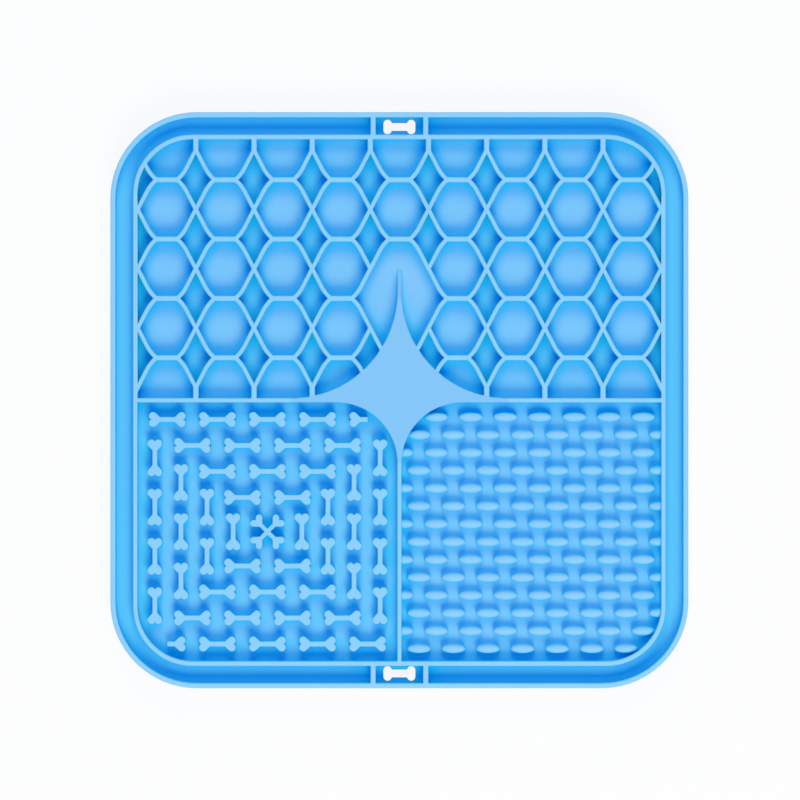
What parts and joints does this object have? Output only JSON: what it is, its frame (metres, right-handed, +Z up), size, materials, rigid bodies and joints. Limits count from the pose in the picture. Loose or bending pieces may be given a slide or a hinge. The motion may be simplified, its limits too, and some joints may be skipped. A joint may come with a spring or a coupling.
{
  "type": "lick mat",
  "caption": "Square silicone lick mat with honeycomb, bone and oval nub fields around a star, a double rim, bone-shaped hanging slots and suction cups underneath",
  "frame": {"origin": "middle of the plane that the suction cups stand on", "axes": "+X to the mat's right, +Y to its back, where the honeycomb is, +Z up through the licking face"},
  "size_m": [0.2, 0.1994, 0.0098],
  "materials": {
    "silicone": "satin"
  },
  "bodies": {
    "root": {"base_web": "silicone", "suction_cups": "silicone", "outer_rim": "silicone", "inner_rim": "silicone", "slot_rib_back_left": "silicone", "slot_rib_back_right": "silicone", "slot_rib_front_left": "silicone", "slot_rib_front_right": "silicone", "left_divider": "silicone", "right_divider": "silicone", "front_divider": "silicone", "centre_star": "silicone", "bones_back": "silicone", "bones_front": "silicone", "bones_left": "silicone", "bones_right": "silicone", "crossed_bones": "silicone", "honeycomb_column_1": "silicone", "honeycomb_column_2": "silicone", "honeycomb_column_3": "silicone", "honeycomb_column_4": "silicone", "honeycomb_column_5": "silicone", "honeycomb_column_6": "silicone", "honeycomb_column_7": "silicone", "honeycomb_column_8": "silicone", "honeycomb_column_9": "silicone", "oval_row_1": "silicone", "oval_row_2": "silicone", "oval_row_3": "silicone", "oval_row_4": "silicone", "oval_row_5": "silicone", "oval_row_6": "silicone", "oval_row_7": "silicone", "oval_row_8": "silicone", "oval_row_9": "silicone", "oval_row_10": "silicone", "oval_row_11": "silicone", "oval_row_12": "silicone", "oval_row_13": "silicone", "oval_row_14": "silicone"}
  },
  "joints": []
}
